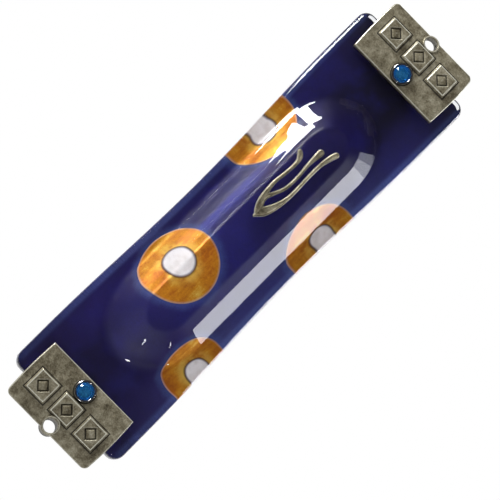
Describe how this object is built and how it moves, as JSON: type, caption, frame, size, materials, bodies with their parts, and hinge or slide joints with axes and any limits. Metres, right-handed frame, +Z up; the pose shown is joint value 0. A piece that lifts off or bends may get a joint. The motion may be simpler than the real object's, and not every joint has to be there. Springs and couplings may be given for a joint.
{
  "type": "mezuzah case",
  "caption": "Slumped fused-glass mezuzah case: a raised pod holding a rolled scroll, cast pewter end plates with crystals and screw holes, and a lift-out back cover.",
  "frame": {"origin": "midway between the two screw holes, in the flat back plane that meets the doorpost", "axes": "+Z up the case, the way it hangs; the front faces -Y; +X to the right seen from the front"},
  "size_m": [0.038, 0.0132, 0.1514],
  "materials": {
    "clear_glass": "clear, fire-polished",
    "blue_enamel": "opaque cobalt blue fired colour, glossy under clear glass",
    "amber_lustre": "metallic amber fired colour",
    "white_enamel": "pearly white fired colour",
    "pewter": "cast pewter, aged grey-brown with bright worn edges",
    "silver": "bright silver plate",
    "blue_crystal": "faceted blue crystal",
    "foil": "mirror foil",
    "adhesive": "cured clear adhesive",
    "clear_sheet": "thin clear plastic",
    "parchment": "rolled parchment"
  },
  "bodies": {
    "case": {"glass_shell": "clear_glass", "blue_enamel": "blue_enamel", "amber_ring_1": "amber_lustre", "amber_ring_2": "amber_lustre", "amber_ring_3": "amber_lustre", "amber_ring_4": "amber_lustre", "white_dot_1": "white_enamel", "white_dot_2": "white_enamel", "white_dot_3": "white_enamel", "white_dot_4": "white_enamel", "shin_letter": "pewter", "shin_adhesive": "adhesive", "upper_plate": "pewter", "lower_plate": "pewter", "upper_plate_adhesive": "adhesive", "lower_plate_adhesive": "adhesive", "upper_setting_cup": "silver", "lower_setting_cup": "silver", "upper_crystal": "blue_crystal", "lower_crystal": "blue_crystal", "upper_crystal_foil": "foil", "lower_crystal_foil": "foil"},
    "cover": {"back_cover": "clear_sheet"},
    "scroll": {"scroll_sleeve": "clear_sheet", "parchment_scroll": "parchment"}
  },
  "joints": [
    {"name": "cover_slide", "type": "slide", "parent": "case", "child": "cover", "axis": [0, 1, 0], "range_m": [0, 0.04]},
    {"name": "scroll_slide", "type": "slide", "parent": "case", "child": "scroll", "axis": [0, 1, 0], "range_m": [0, 0.02]}
  ],
  "couplings": [
    {"joint": "scroll_slide", "follows": "cover_slide", "ratio": 0.5}
  ]
}
